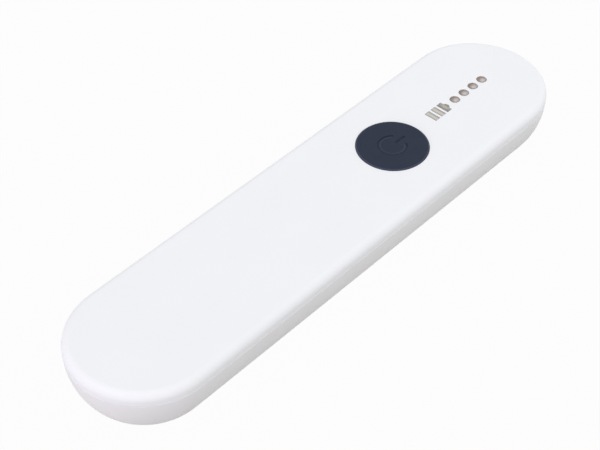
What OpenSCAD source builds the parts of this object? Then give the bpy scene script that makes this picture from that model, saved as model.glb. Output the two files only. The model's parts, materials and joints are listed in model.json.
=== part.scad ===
// Cordless hand-held UV-C LED steriliser wand: a flat bar with round ends, made of a shallow top cover and a
// boat-shaped lower shell. The thumb button and the charge gauge are on top, near the charging end (+X).
// The lamp looks down through a quartz window under the other half (-X). Underside at z = 0, +Z up, millimetres.

/* [Body] */
// Overall length
body_len = 169; // [167:1:210]
// Overall width
body_w = 40; // [39:1:50]
// Height of the flat top face above the underside
body_h = 15.6; // [15.4:0.1:20]
// Depth of the seam between the two shells, below the top face
seam_drop = 3.4; // [3:0.1:4.2]
// Radius of the edge round the top face
top_edge_r = 2.3; // [1:0.1:2.4]
// How far the lower shell draws in between the seam and the underside
side_draw = 4.2; // [3:0.1:6]
// Width of the soft edge round the underside
foot_edge = 1.2; // [0.4:0.1:2]
// Width of the soft edge along the lower shell's rim, under the seam
rim_edge = 0.2; // [0.1:0.05:0.3]
// Thickness of the side walls
wall = 1.8; // [1.5:0.05:2.2]
// Thickness of the top plate
plate_t = 1.6; // [1.2:0.1:2]
// Thickness of the underside
floor_t = 2; // [1.8:0.1:2.4]
// Height of the lip that locates the cover in the lower shell
lip_h = 1.5; // [1:0.1:2]
// Thickness of that lip
lip_t = 0.8; // [0.6:0.05:1]

/* [Button] */
// Diameter of the button's hole in the top face
button_d = 20.3; // [16:0.1:24.5]
// Distance from the charging end to the button's centre
button_from_end = 56.9; // [55:0.1:58]
// How far the button stands above the top face
button_proud = 0.3; // [0:0.05:0.8]
// Travel of the button
button_travel = 0.4; // [0.2:0.05:0.45]
// Width of the flange that holds the button in
flange_w = 1.5; // [1:0.1:1.8]
// Thickness of that flange
flange_t = 0.9; // [0.7:0.1:1.2]
// Mean radius of the power symbol's ring
symbol_r = 3.7; // [2.5:0.1:5]
// Stroke width of the power symbol at the top
symbol_stroke = 0.7; // [0.4:0.05:1]
// Stroke width of the power symbol at its bottom
symbol_root = 0.15; // [0.1:0.05:0.3]
// Depth of the power symbol
symbol_depth = 0.25; // [0.1:0.05:0.4]
// Half of the gap in the power symbol's ring, in degrees
symbol_gap = 38; // [25:1:50]

/* [Gauge] */
// Distance from the charging end to the first bar's centre
bar_from_end = 39.7; // [39:0.1:40]
// Number of bars in the battery sign
bar_count = 3; // [3:1:3]
// Distance between bars
bar_pitch = 2.55; // [2.4:0.05:2.6]
// Size of a bar along the wand
bar_len = 1.95; // [1.5:0.05:2.1]
// Size of a bar across the wand
bar_w = 4.2; // [3:0.1:4.6]
// Radius of the knob at the battery sign's end
nub_r = 1.1; // [0.8:0.05:1.3]
// How far that knob stands out
nub_out = 0.8; // [0.5:0.05:1]
// Number of dots
dot_count = 4; // [4:1:4]
// Distance from the last bar's centre to the first dot's centre
dot_gap = 4.8; // [4.6:0.1:5.4]
// Distance between dots
dot_pitch = 4.05; // [3.8:0.05:4.3]
// Diameter of a dot
dot_d = 3.05; // [2:0.05:3.2]
// Depth of the lit faces below the top face
gauge_recess = 0.15; // [0.1:0.05:0.8]

/* [Lamp] */
// Distance from the plain end to the lamp's window
lamp_from_end = 20.5; // [20:0.5:21]
// Width of the quartz window
window_w = 16; // [13:0.5:17]
// Thickness of the quartz window
window_t = 1; // [0.8:0.1:1.2]
// Width of the ledge that carries the window
ledge_w = 2; // [1.2:0.1:2.4]
// Thickness of that ledge
ledge_t = 0.8; // [0.6:0.1:1]
// Number of lamp chips
led_count = 10; // [6:1:10]
// Distance between lamp chips
led_pitch = 6.2; // [5:0.05:6.3]
// Side of a lamp chip
led_size = 3.5; // [3:0.1:3.5]
// Depth of the reflector's cups
tray_t = 2; // [1.6:0.1:2.4]

/* [Electronics] */
// Width of the main board
board_w = 26; // [24:0.5:27]
// Thickness of the main board
board_t = 1; // [0.8:0.1:1.2]
// Distance from the top plate down to the main board
board_drop = 4.4; // [4.4:0.1:4.6]
// Length of the battery with its terminal ledge
battery_len = 50; // [44:0.5:50]
// Width of the battery
battery_w = 25; // [20:0.5:26]
// Thickness of the battery
battery_t = 5; // [4:0.1:5.2]
// Width of the charging socket
usb_w = 8.94; // [8.94:0.01:9]
// Height of the charging socket
usb_h = 3.26; // [3.2:0.02:3.3]
// Length of the charging socket
usb_len = 7.3; // [6.5:0.1:7.6]
// How far the charging socket's mouth lies inside the wand's end
usb_recess = 2; // [1.8:0.1:2.3]

/* [Screws] */
// Radius of a case screw's thread
case_screw_r = 1; // [0.8:0.05:1.2]
// Distance from each end to the case screws
case_screw_from_end = 15; // [14.6:0.1:15.2]
// Distance of the case screws from the centre line
case_screw_y = 9.5; // [9.2:0.1:9.6]
// Height at which the two shells' screw posts meet
post_meet = 7; // [6.4:0.1:7.4]
// Radius of a board screw's thread
board_screw_r = 0.8; // [0.7:0.05:0.9]

/* [Hidden] */
$fn = 96;

// Clearances
seam_gap = 0.05;     // open line between the shells
lip_gap = 0.15;      // between the cover's lip and the lower shell
button_gap = 0.15;   // round the button in its hole
flange_gap = 0.1;    // between the button's flange and the plate it stops against
guide_gap = 0.08;    // round the light guide's pips
pocket_gap = 0.15;   // round the window in its pocket
screw_gap = 0.03;    // round a thread in its pilot hole
shank_gap = 0.2;     // round a screw in a hole that it passes through
pilot_spare = 0.4;   // open thread past a screw's end
lead_gap = 0.02;     // under a wire where it is soldered
touch = 0.05;        // between pieces that rest on each other and move or are curved
cut = 1;             // how far a cutting shape runs past a face

// Shell
end_x = body_len / 2;
half_w = body_w / 2;
spine = end_x - half_w;
seam_z = body_h - seam_drop;
plate_z = body_h - plate_t;
arc_r = (side_draw * side_draw + seam_z * seam_z) / (2 * side_draw);
arc_c = half_w - arc_r;

// Button and its switch
button_x = end_x - button_from_end;
button_r = button_d / 2 - button_gap;
button_edge_r = 0.35;
button_skin = 1.2;
button_rib_t = 0.8;
symbol_bar_start = symbol_r * 0.35;
button_post_r = 2.2;
flange_r = button_r + flange_w;
flange_top = plate_z - flange_gap;
flange_low = flange_top - flange_t;
collar_r = flange_r + 0.3;
collar_t = 1.2;
collar_h = 2.4;
board_z = plate_z - board_drop;
switch_size = 6;
switch_body_h = 2.2;
switch_cover_t = 0.2;
switch_floor_t = 0.6;
switch_bore_r = 2.3;
plunger_r = 1.6;
plunger_flange_r = 2.05;
plunger_flange_t = 0.6;
plunger_proud = 0.5;
switch_top = board_z + switch_body_h + switch_cover_t;
plunger_top = switch_top + plunger_proud;
plunger_flange_top = board_z + switch_body_h - 0.2;
dome_r = 2.1;
dome_t = 0.1;
dome_rise = 0.25;

// Gauge
bar_x = end_x - bar_from_end;
last_bar_x = bar_x + (bar_count - 1) * bar_pitch;
dot_x = last_bar_x + dot_gap;
last_dot_x = dot_x + (dot_count - 1) * dot_pitch;
guide_t = 0.8;
guide_margin = 1.2;
guide_x0 = bar_x - bar_len / 2 - guide_margin;
guide_x1 = last_dot_x + dot_d / 2 + guide_margin;
guide_w = 6.4;
stake_r = 0.6;
stake_head_r = 1;
stake_head_t = 0.55;
ear_r = 1.5;
ear_inset = 3;
cell_gap = 0.25;

// Main board and what it carries
board_boss_r = 2.2;
board_x0 = button_x - collar_r - collar_t - 2.8;
board_x1 = end_x - case_screw_from_end - 4;
board_tail_x = end_x - 5;
board_tail_w = 12;
board_screw_x0 = board_x0 + 4;
board_screw_x1 = board_x1 - 4;
board_screw_y = board_w / 2 - 2.5;
board_screw_grip = 3;
board_screw_head_r = 1.5;
board_screw_head_t = 0.9;
board_low = board_z - board_t;
inductor_x = button_x + collar_r + collar_t + 4.2;
inductor_y = 8.6;
charger_x = inductor_x + 8;
charger_y = 8.4;
controller_x = board_x0 + 31;
sensor_x = board_x0 + 41;
logic_y = -8.2;
capacitor_x = [board_x0 + 26, inductor_x + 4.2, inductor_x + 11.8, inductor_x + 14];
capacitor_y = 5.2;

// Battery
tape_t = 0.2;
tape_margin = [4, 3];
battery_z = floor_t + tape_t;
battery_x1 = board_x1 - 0.5;
battery_x0 = battery_x1 - battery_len;
battery_ledge = 4;
battery_corner_r = 1.5;
ledge_flap_t = 0.5;
ledge_inset = 1;
guard_len = 3;
guard_inset = 0.4;
guard_w = 18;
guard_t = 0.8;
guard_z = battery_z + battery_t / 2 - 1;

// Board-to-wire connectors and leads
header_y = 5.2;
header_len = 4.2;
header_w = 5.4;
header_h = 1.9;
header_skin = 0.4;
header_back = 0.8;
header_inset = 0.3;
plug_gap = 0.1;
plug_short = 1;
plug_out = 1.6;
lead_r = 0.45;
lead_pitch = 1.8;
lead_turn_x = board_x0 - plug_out - 1.9;
plug_z = board_z + header_h / 2;
header_x0 = board_x0 + header_inset;
joint_inset = 2;

// Lamp
window_len = led_count * led_pitch + 2 * ledge_w;
lamp_x = lamp_from_end + window_len / 2 - end_x;
window_z = ledge_t;
gasket_z = window_z + window_t;
gasket_t = 0.5;
tray_z = gasket_z + gasket_t;
lamp_board_z = tray_z + tray_t;
lamp_board_t = 1.2;
lamp_board_w = 14;
spreader_z = lamp_board_z + lamp_board_t;
spreader_t = 1.5;
spreader_w = 18;
tab_len = 5;
tab_w = 7;
solder_len = 4;
lamp_screw_x = window_len / 2 + 2.5;
lamp_screw_head_r = 1.8;
lamp_screw_head_t = 1.1;
lamp_boss_r = 2.5;
lamp_screw_low = 1.4;
cup_gap = 0.13;
cup_wall = 0.2;
cup_top_r = led_size * sqrt(0.5) + cup_gap;
cup_low_r = led_pitch / 2 - cup_wall;
led_base_t = 0.6;
led_lid_t = 0.4;
led_lid_size = 3;

// Charging socket
usb_x = end_x - usb_recess;
usb_z = board_low - usb_h / 2;
usb_skin = 0.3;
usb_back = 1.8;
usb_tongue_w = 6.6;
usb_tongue_t = 0.7;
usb_tongue_short = 0.6;
usb_port_depth = 6;

// Case screws
screw_seat = 4.6;
post_r = 3;
upper_post_r = 2.6;
counterbore_r = 2.3;
case_head_r = 1.9;
case_head_t = 1.3;
case_screw_top = plate_z - 2;
plug_t = 1.5;
plug_inset = 0.15;

// Colours
white = [0.945, 0.95, 0.965];
lower_white = [0.9, 0.9, 0.89];
slate = [0.2, 0.23, 0.29];
milky = [0.75, 0.72, 0.68];
board_green = [0.1, 0.35, 0.22];
chip_black = [0.12, 0.12, 0.13];
metal = [0.75, 0.76, 0.78];
quartz = [0.8, 0.88, 0.95];

// Sweeps a half section round the wand: its x is the distance from the centre line and its y is the height.
module around() {
    for (side = [-1, 1])
        translate([side * spine, 0, 0])
            rotate([0, 0, -90 * side])
                rotate_extrude(angle = 180)
                    children();
    translate([-spine, 0, 0])
        rotate([90, 0, 90])
            linear_extrude(2 * spine) {
                children();
                mirror([1, 0])
                    children();
            }
}

// A box centred on x and y that stands on z.
module block(x, y, z, size) {
    translate([x - size[0] / 2, y - size[1] / 2, z])
        cube(size);
}

// An upright cylinder that stands on z.
module post(x, y, z, r, h) {
    translate([x, y, z])
        cylinder(r = r, h = h);
}

// An upright slab with round ends along X, centred on x and y.
module slot_slab(x, z, length, width, h) {
    translate([x, 0, z])
        linear_extrude(h)
            slot_shape(length, width);
}

// Flat outline with round ends along its first axis.
module slot_shape(length, width) {
    square([length - width, width], center = true);
    for (side = [-1, 1])
        translate([side * (length - width) / 2, 0])
            circle(width / 2);
}

// Section of the lower shell's outside, drawn in by inset and cut off at z_low.
module lower_section(inset, z_low) {
    intersection() {
        translate([arc_c, seam_z])
            circle(arc_r - inset, $fn = 240);
        translate([0, z_low])
            square([half_w, seam_z - z_low]);
    }
}

// The wedge taken off the underside's edge.
module foot_wedge() {
    rise = foot_edge * 0.6;
    low = [half_w - side_draw - foot_edge, 0];
    high = [arc_c + sqrt(arc_r * arc_r - pow(seam_z - rise, 2)), rise];
    run = high - low;
    polygon([low - run, high + run, high + run - [0, 3 * foot_edge], low - run - [0, 3 * foot_edge]]);
}

// The wedge taken off the lower shell's rim.
module rim_wedge() {
    rim_z = seam_z - seam_gap;
    polygon([[half_w - rim_edge, rim_z], [half_w + cut, rim_z - rim_edge - cut], [half_w + cut, rim_z + cut],
        [half_w - rim_edge, rim_z + cut]]);
}

// Section of the cover's outside above the seam.
module cover_section() {
    translate([0, seam_z])
        square([half_w, seam_drop - top_edge_r]);
    translate([0, seam_z])
        square([half_w - top_edge_r, seam_drop]);
    translate([half_w - top_edge_r, body_h - top_edge_r])
        intersection() {
            circle(top_edge_r);
            square(top_edge_r);
        }
}

// Places its children at the four case screws.
module at_case_screws() {
    for (x = [-1, 1], y = [-1, 1])
        translate([x * (end_x - case_screw_from_end), y * case_screw_y, 0])
            children();
}

// Places its children at the four board screws.
module at_board_screws() {
    for (x = [board_screw_x0, board_screw_x1], y = [-1, 1])
        translate([x, y * board_screw_y, 0])
            children();
}

// Places its children at the two lamp screws.
module at_lamp_screws() {
    for (side = [-1, 1])
        translate([lamp_x + side * lamp_screw_x, 0, 0])
            children();
}

// Places its children at each lamp chip.
module at_lamp_chips() {
    for (i = [0 : led_count - 1])
        translate([lamp_x + (i - (led_count - 1) / 2) * led_pitch, 0, 0])
            children();
}

// Flat outline of the gauge's openings, or of the pips in them when shrunk by gap.
module gauge_shape(gap = 0) {
    for (i = [0 : bar_count - 1])
        translate([bar_x + i * bar_pitch, 0])
            square([bar_len - 2 * gap, bar_w - 2 * gap], center = true);
    translate([last_bar_x + bar_len / 2 + nub_out - nub_r, 0])
        circle(nub_r - gap);
    for (i = [0 : dot_count - 1])
        translate([dot_x + i * dot_pitch, 0])
            circle(dot_d / 2 - gap);
}

// Places its children at the light guide's four ears.
module at_guide_ears() {
    for (x = [guide_x0 + ear_inset, guide_x1 - ear_inset], side = [-1, 1])
        translate([x, side * (guide_w / 2 + ear_r - touch), 0])
            children();
}

// Heat-staked pin that holds the light guide against the plate.
module guide_stake() {
    head_z = plate_z - guide_t - touch - stake_head_t;
    post(0, 0, head_z, stake_r, plate_z - head_z + touch);
    post(0, 0, head_z, stake_head_r, stake_head_t);
}

// Stiffening ribs under the plate, over the lamp.
module cover_ribs() {
    rib_h = 2;
    rib_t = 1;
    rib_y = 9;
    rib_margin = 4;
    rib_len = window_len - 2 * rib_margin;
    for (side = [-1, 1])
        block(lamp_x, side * rib_y, plate_z - rib_h, [rib_len, rib_t, rib_h + touch]);
    for (i = [-1.5 : 1 : 1.5])
        block(lamp_x + i * rib_len / 4, 0, plate_z - rib_h, [rib_t, 2 * rib_y, rib_h + touch]);
}

module top_cover() {
    color(white)
        difference() {
            union() {
                difference() {
                    around()
                        cover_section();
                    around()
                        translate([0, seam_z - cut])
                            square([half_w - wall, plate_z - seam_z + cut]);
                }
                around()
                    translate([half_w - wall, seam_z - lip_h])
                        square([lip_t, lip_h + touch]);
                post(button_x, 0, plate_z - collar_h, collar_r + collar_t, collar_h + touch);
                at_board_screws()
                    post(0, 0, board_z, board_boss_r, board_drop + touch);
                at_case_screws()
                    post(0, 0, post_meet, upper_post_r, plate_z - post_meet + touch);
                at_guide_ears()
                    guide_stake();
                cover_ribs();
            }
            post(button_x, 0, plate_z - collar_h - cut, collar_r, collar_h + cut);
            post(button_x, 0, plate_z - cut, button_d / 2, plate_t + 2 * cut);
            translate([0, 0, plate_z - touch])
                linear_extrude(plate_t + cut)
                    gauge_shape();
            at_board_screws()
                post(0, 0, board_z - cut, board_screw_r + screw_gap, board_screw_grip + pilot_spare + cut);
            at_case_screws()
                post(0, 0, post_meet - cut, case_screw_r + screw_gap,
                    case_screw_top + pilot_spare - post_meet + cut);
        }
}

// Ribs on the floor that stop the battery sliding along the wand.
module battery_stops() {
    stop_t = 0.8;
    stop_w = 12;
    stop_h = 2.4;
    stop_gap = 0.3;
    block(battery_x0 - stop_gap - stop_t / 2, 0, floor_t - touch, [stop_t, stop_w, stop_h + touch]);
    block(battery_x1 + stop_gap + stop_t / 2, 0, floor_t - touch, [stop_t, stop_w, stop_h + touch]);
}

module bottom_shell() {
    color(lower_white)
        difference() {
            union() {
                difference() {
                    around()
                        difference() {
                            lower_section(0, 0);
                            foot_wedge();
                        }
                    around()
                        lower_section(wall, floor_t);
                }
                at_case_screws()
                    post(0, 0, floor_t / 2, post_r, post_meet - floor_t / 2);
                at_lamp_screws()
                    post(0, 0, floor_t - touch, lamp_boss_r, lamp_board_z - floor_t + touch);
                battery_stops();
            }
            // room for the cover's lip, and the open line at the seam
            around()
                translate([half_w - wall - cut, seam_z - lip_h - lip_gap])
                    square([cut + lip_t + lip_gap, lip_h + lip_gap + cut]);
            around()
                translate([half_w - wall - cut, seam_z - seam_gap])
                    square([wall + 2 * cut, seam_gap + cut]);
            around()
                rim_wedge();
            // lamp opening, and the window's pocket above its ledge
            slot_slab(lamp_x, -cut, window_len - 2 * ledge_w, window_w - 2 * ledge_w, floor_t + 2 * cut);
            slot_slab(lamp_x, window_z, window_len + 2 * pocket_gap, window_w + 2 * pocket_gap, floor_t + cut);
            // screws
            at_case_screws() {
                post(0, 0, -cut, counterbore_r, screw_seat + cut);
                post(0, 0, 0, case_screw_r + shank_gap, post_meet + cut);
            }
            at_lamp_screws()
                post(0, 0, lamp_screw_low - pilot_spare, case_screw_r + screw_gap, lamp_board_z);
            // charging socket
            translate([end_x - usb_port_depth, 0, usb_z])
                rotate([90, 0, 90])
                    linear_extrude(usb_port_depth + cut)
                        slot_shape(usb_w + 2 * shank_gap, usb_h + 2 * shank_gap);
        }
}

// Section of the power sign's groove, with sloping sides, and run on above the face.
module groove_section() {
    slope = (symbol_stroke - symbol_root) / symbol_depth;
    top_w = symbol_root + slope * (symbol_depth + cut);
    polygon([[-symbol_root / 2, 0], [symbol_root / 2, 0], [top_w / 2, symbol_depth + cut],
        [-top_w / 2, symbol_depth + cut]]);
}

// The ring and stroke of the power sign, as a cutting shape that stands on z. Its gap faces the gauge.
module power_symbol(z) {
    translate([button_x, 0, z])
        rotate([0, 0, symbol_gap])
            rotate_extrude(angle = 360 - 2 * symbol_gap)
                translate([symbol_r, 0])
                    groove_section();
    translate([button_x + symbol_bar_start, 0, z])
        rotate([90, 0, 90])
            linear_extrude(symbol_r)
                groove_section();
}

module power_button() {
    top = body_h + button_proud;
    post_low = plunger_top + touch;
    color(slate)
        difference() {
            union() {
                translate([button_x, 0, 0])
                    rotate_extrude() {
                        translate([0, flange_low])
                            square([flange_r, flange_t]);
                        translate([0, flange_low])
                            square([button_r, top - button_edge_r - flange_low]);
                        translate([0, flange_low])
                            square([button_r - button_edge_r, top - flange_low]);
                        translate([button_r - button_edge_r, top - button_edge_r])
                            intersection() {
                                circle(button_edge_r);
                                square(button_edge_r);
                            }
                    }
            }
            translate([button_x, 0, flange_low - cut])
                difference() {
                    cylinder(r = button_r - button_skin, h = top - button_skin - flange_low + cut);
                    cylinder(r = button_post_r, h = top);
                    for (a = [0 : 60 : 120])
                        rotate([0, 0, a])
                            translate([-button_r, -button_rib_t / 2, cut])
                                cube([2 * button_r, button_rib_t, top]);
                }
            power_symbol(top - symbol_depth);
        }
    color(slate)
        post(button_x, 0, post_low, button_post_r, flange_low - post_low + touch);
}

module gauge_light_guide() {
    guide_low = plate_z - guide_t;
    color(milky)
        difference() {
            union() {
                translate([guide_x0, -guide_w / 2, guide_low])
                    cube([guide_x1 - guide_x0, guide_w, guide_t]);
                at_guide_ears() {
                    post(0, 0, guide_low, ear_r, guide_t);
                    block(0, 0, guide_low, [2 * ear_r, 2 * ear_r, guide_t]);
                }
                translate([0, 0, guide_low + guide_t / 2])
                    linear_extrude(guide_t / 2 + plate_t - gauge_recess)
                        gauge_shape(guide_gap);
            }
            at_guide_ears()
                post(0, 0, guide_low - cut, stake_r + touch, guide_t + 2 * cut);
        }
}

module gauge_light_baffle() {
    baffle_h = board_drop - guide_t;
    color(chip_black)
        difference() {
            translate([guide_x0, -guide_w / 2, board_z])
                cube([guide_x1 - guide_x0, guide_w, baffle_h]);
            translate([bar_x - bar_len / 2 - cell_gap, -bar_w / 2 - cell_gap, board_z - cut])
                cube([last_bar_x - bar_x + bar_len + nub_out + 2 * cell_gap, bar_w + 2 * cell_gap,
                    baffle_h + 2 * cut]);
            for (i = [0 : dot_count - 1])
                post(dot_x + i * dot_pitch, 0, board_z - cut, dot_d / 2 + cell_gap, baffle_h + 2 * cut);
        }
}

module gauge_leds() {
    led = [0.8, 1.6, 0.7];
    color([0.95, 0.95, 0.85]) {
        for (i = [0 : bar_count - 1])
            block(bar_x + i * bar_pitch, 0, board_z, led);
        for (i = [0 : dot_count - 1])
            block(dot_x + i * dot_pitch, 0, board_z, led);
    }
}

module main_board() {
    color(board_green)
        difference() {
            union() {
                translate([board_x0, -board_w / 2, board_low])
                    cube([board_x1 - board_x0, board_w, board_t]);
                translate([board_x1 - touch, -board_tail_w / 2, board_low])
                    cube([board_tail_x - board_x1 + touch, board_tail_w, board_t]);
            }
            at_board_screws()
                post(0, 0, board_low - cut, board_screw_r + shank_gap, board_t + 2 * cut);
        }
}

module switch_base() {
    color(chip_black)
        difference() {
            block(button_x, 0, board_z, [switch_size, switch_size, switch_body_h]);
            post(button_x, 0, board_z + switch_floor_t, switch_bore_r, switch_body_h);
        }
}

module switch_cover() {
    color(metal)
        difference() {
            block(button_x, 0, board_z + switch_body_h, [switch_size, switch_size, switch_cover_t]);
            post(button_x, 0, board_z, plunger_r + button_gap, switch_body_h + cut);
        }
}

module switch_dome() {
    knee = [dome_r * 0.6, dome_rise * 0.7];
    color(metal)
        translate([button_x, 0, board_z + switch_floor_t])
            rotate_extrude()
                polygon([[0, dome_rise], knee, [dome_r, 0], [dome_r, dome_t], knee + [0, dome_t],
                    [0, dome_rise + dome_t]]);
}

module switch_plunger() {
    color(chip_black) {
        post(button_x, 0, plunger_flange_top - plunger_flange_t, plunger_flange_r, plunger_flange_t);
        post(button_x, 0, plunger_flange_top - touch, plunger_r, plunger_top - plunger_flange_top + touch);
    }
}

// A chip package on the main board with a row of legs along two sides.
module leaded_chip(x, y, size, legs, pitch) {
    leg = [0.3, 0.8, 0.3];
    stand_off = 0.1;
    block(x, y, board_z + stand_off, [size[0], size[1], size[2] - stand_off]);
    for (side = [-1, 1], i = [0 : legs - 1])
        block(x + (i - (legs - 1) / 2) * pitch, y + side * size[1] / 2, board_z, leg);
}

module controller_ic() {
    color(chip_black)
        leaded_chip(controller_x, logic_y, size = [7, 5, 1.3], legs = 6, pitch = 1);
}

module charger_ic() {
    color(chip_black)
        leaded_chip(charger_x, charger_y, size = [4.9, 3.9, 1.4], legs = 4, pitch = 1.27);
}

module tilt_sensor_ic() {
    sensor = [3, 3, 0.9];
    color(chip_black)
        block(sensor_x, logic_y, board_z, sensor);
}

module boost_inductor() {
    coil_case = [5.2, 5.2, 2.4];
    dimple_r = 1.9;
    dimple_depth = 0.2;
    color([0.3, 0.3, 0.32])
        difference() {
            block(inductor_x, inductor_y, board_z, coil_case);
            post(inductor_x, inductor_y, board_z + coil_case[2] - dimple_depth, dimple_r, cut);
        }
}

module board_capacitors() {
    capacitor = [1.25, 2, 1];
    color([0.72, 0.6, 0.42])
        for (x = capacitor_x, side = [-1, 1])
            block(x, side * capacitor_y, board_z, capacitor);
}

module usb_socket_shell() {
    color(metal)
        translate([usb_x - usb_len, 0, usb_z])
            rotate([90, 0, 90])
                linear_extrude(usb_len)
                    difference() {
                        slot_shape(usb_w, usb_h);
                        slot_shape(usb_w - 2 * usb_skin, usb_h - 2 * usb_skin);
                    }
}

module usb_socket_insert() {
    fill = usb_skin + screw_gap;
    color(chip_black) {
        translate([usb_x - usb_len, 0, usb_z])
            rotate([90, 0, 90])
                linear_extrude(usb_back)
                    slot_shape(usb_w - 2 * fill, usb_h - 2 * fill);
        translate([usb_x - usb_len + usb_back - touch, -usb_tongue_w / 2, usb_z - usb_tongue_t / 2])
            cube([usb_len - usb_back - usb_tongue_short + touch, usb_tongue_w, usb_tongue_t]);
    }
}

module battery_cell() {
    body_x0 = battery_x0 + battery_ledge;
    color([0.78, 0.79, 0.8]) {
        translate([body_x0, 0, battery_z + battery_t / 2])
            rotate([90, 0, 90])
                linear_extrude(battery_x1 - body_x0) {
                    square([battery_w - 2 * battery_corner_r, battery_t], center = true);
                    square([battery_w, battery_t - 2 * battery_corner_r], center = true);
                    for (y = [-1, 1], z = [-1, 1])
                        translate([y * (battery_w / 2 - battery_corner_r), z * (battery_t / 2 - battery_corner_r)])
                            circle(battery_corner_r);
                }
        translate([battery_x0, -battery_w / 2 + ledge_inset, guard_z - ledge_flap_t])
            cube([battery_ledge + touch, battery_w - 2 * ledge_inset, ledge_flap_t]);
    }
}

module battery_guard_board() {
    color(board_green)
        translate([battery_x0 + guard_inset, -guard_w / 2, guard_z])
            cube([guard_len, guard_w, guard_t]);
}

module battery_tape() {
    color([0.85, 0.82, 0.7])
        translate([battery_x0 + battery_ledge + tape_margin[0], -battery_w / 2 + tape_margin[1], floor_t])
            cube([battery_len - battery_ledge - 2 * tape_margin[0], battery_w - 2 * tape_margin[1], tape_t]);
}

// Board-mounted half of a two-wire connector, open towards the lamp.
module wire_header(y) {
    bore = [header_len - header_back + cut, header_w - 2 * header_skin, header_h - 2 * header_skin];
    difference() {
        block(header_x0 + header_len / 2, y, board_z, [header_len, header_w, header_h]);
        block(header_x0 - cut + bore[0] / 2, y, board_z + header_skin, bore);
    }
}

// Wire-mounted half, seated in its header.
module wire_plug(y) {
    reach = header_len - plug_short + plug_out;
    loss = 2 * header_skin + 2 * plug_gap;
    block(header_x0 - plug_out + reach / 2, y, board_z + header_skin + plug_gap,
        [reach, header_w - loss, header_h - loss]);
}

// A wire along straight runs between points, with round elbows.
module wire(points) {
    for (i = [0 : len(points) - 2])
        run_between(points[i], points[i + 1]);
    for (i = [1 : len(points) - 2])
        translate(points[i])
            sphere(lead_r);
}

// One straight run of wire. Every run lies along X or Z.
module run_between(a, b) {
    low = [min(a[0], b[0]), a[1], min(a[2], b[2])];
    if (a[2] == b[2])
        translate(low)
            rotate([0, 90, 0])
                cylinder(r = lead_r, h = abs(b[0] - a[0]));
    else
        translate(low)
            cylinder(r = lead_r, h = abs(b[2] - a[2]));
}

// Lead from a plug down to a solder joint at solder_x, lying on a face at solder_z.
module lead(y, solder_x, solder_z) {
    start_x = header_x0 - plug_out - touch;
    rest_z = solder_z + lead_r + lead_gap;
    wire([[start_x, y, plug_z], [lead_turn_x, y, plug_z], [lead_turn_x, y, rest_z], [solder_x, y, rest_z]]);
}

module battery_header() {
    color(milky)
        wire_header(header_y);
}

module battery_plug() {
    color(milky)
        wire_plug(header_y);
}

module battery_lead_plus() {
    color("firebrick")
        lead(header_y + lead_pitch / 2, battery_x0 + joint_inset, guard_z + guard_t);
}

module battery_lead_minus() {
    color(chip_black)
        lead(header_y - lead_pitch / 2, battery_x0 + joint_inset, guard_z + guard_t);
}

module lamp_header() {
    color(milky)
        wire_header(-header_y);
}

module lamp_plug() {
    color(milky)
        wire_plug(-header_y);
}

module lamp_lead_plus() {
    color("firebrick")
        lead(-header_y + lead_pitch / 2, lamp_x + window_len / 2 - joint_inset, spreader_z);
}

module lamp_lead_minus() {
    color(chip_black)
        lead(-header_y - lead_pitch / 2, lamp_x + window_len / 2 - joint_inset, spreader_z);
}

module lamp_window() {
    color(quartz, 0.5)
        slot_slab(lamp_x, window_z, window_len, window_w, window_t);
}

module window_gasket() {
    color(chip_black)
        difference() {
            slot_slab(lamp_x, gasket_z, window_len, window_w, gasket_t);
            slot_slab(lamp_x, gasket_z - cut, window_len - 2 * ledge_w, window_w - 2 * ledge_w, gasket_t + 2 * cut);
        }
}

module reflector_tray() {
    color(metal)
        difference() {
            slot_slab(lamp_x, tray_z, window_len, window_w, tray_t);
            at_lamp_chips()
                translate([0, 0, tray_z - touch])
                    cylinder(r1 = cup_low_r, r2 = cup_top_r, h = tray_t + 2 * touch);
        }
}

// Plan of the lamp board and heat spreader, with a tab for a screw at each end.
module lamp_plate(z, x0, width, h) {
    translate([x0, -width / 2, z])
        cube([lamp_x + window_len / 2 - x0, width, h]);
}

module lamp_tabs(z, h) {
    for (side = [-1, 1])
        block(lamp_x + side * (window_len / 2 + tab_len / 2 - touch), 0, z, [tab_len, tab_w, h]);
}

module lamp_board() {
    color("white")
        difference() {
            union() {
                lamp_plate(lamp_board_z, lamp_x - window_len / 2, lamp_board_w, lamp_board_t);
                lamp_tabs(lamp_board_z, lamp_board_t);
            }
            at_lamp_screws()
                post(0, 0, lamp_board_z - cut, case_screw_r + shank_gap, lamp_board_t + 2 * cut);
        }
}

module heat_spreader() {
    color(metal)
        difference() {
            union() {
                translate([lamp_x - window_len / 2, -spreader_w / 2, spreader_z])
                    cube([window_len - solder_len, spreader_w, spreader_t]);
                lamp_tabs(spreader_z, spreader_t);
                block(lamp_x + window_len / 2 - solder_len / 2, 0, spreader_z,
                    [solder_len + 2 * touch, tab_w, spreader_t]);
            }
            at_lamp_screws()
                post(0, 0, spreader_z - cut, case_screw_r + shank_gap, spreader_t + 2 * cut);
        }
}

module uv_leds() {
    color([0.95, 0.93, 0.88])
        at_lamp_chips()
            block(0, 0, lamp_board_z - led_base_t, [led_size, led_size, led_base_t]);
}

module uv_led_lids() {
    color(quartz)
        at_lamp_chips()
            block(0, 0, lamp_board_z - led_base_t - led_lid_t, [led_lid_size, led_lid_size, led_lid_t]);
}

module lamp_screws() {
    seat = spreader_z + spreader_t;
    color(metal)
        at_lamp_screws()
            difference() {
                union() {
                    post(0, 0, lamp_screw_low, case_screw_r, seat - lamp_screw_low + touch);
                    post(0, 0, seat, lamp_screw_head_r, lamp_screw_head_t);
                }
                cross_slot(seat + lamp_screw_head_t);
            }
}

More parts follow.
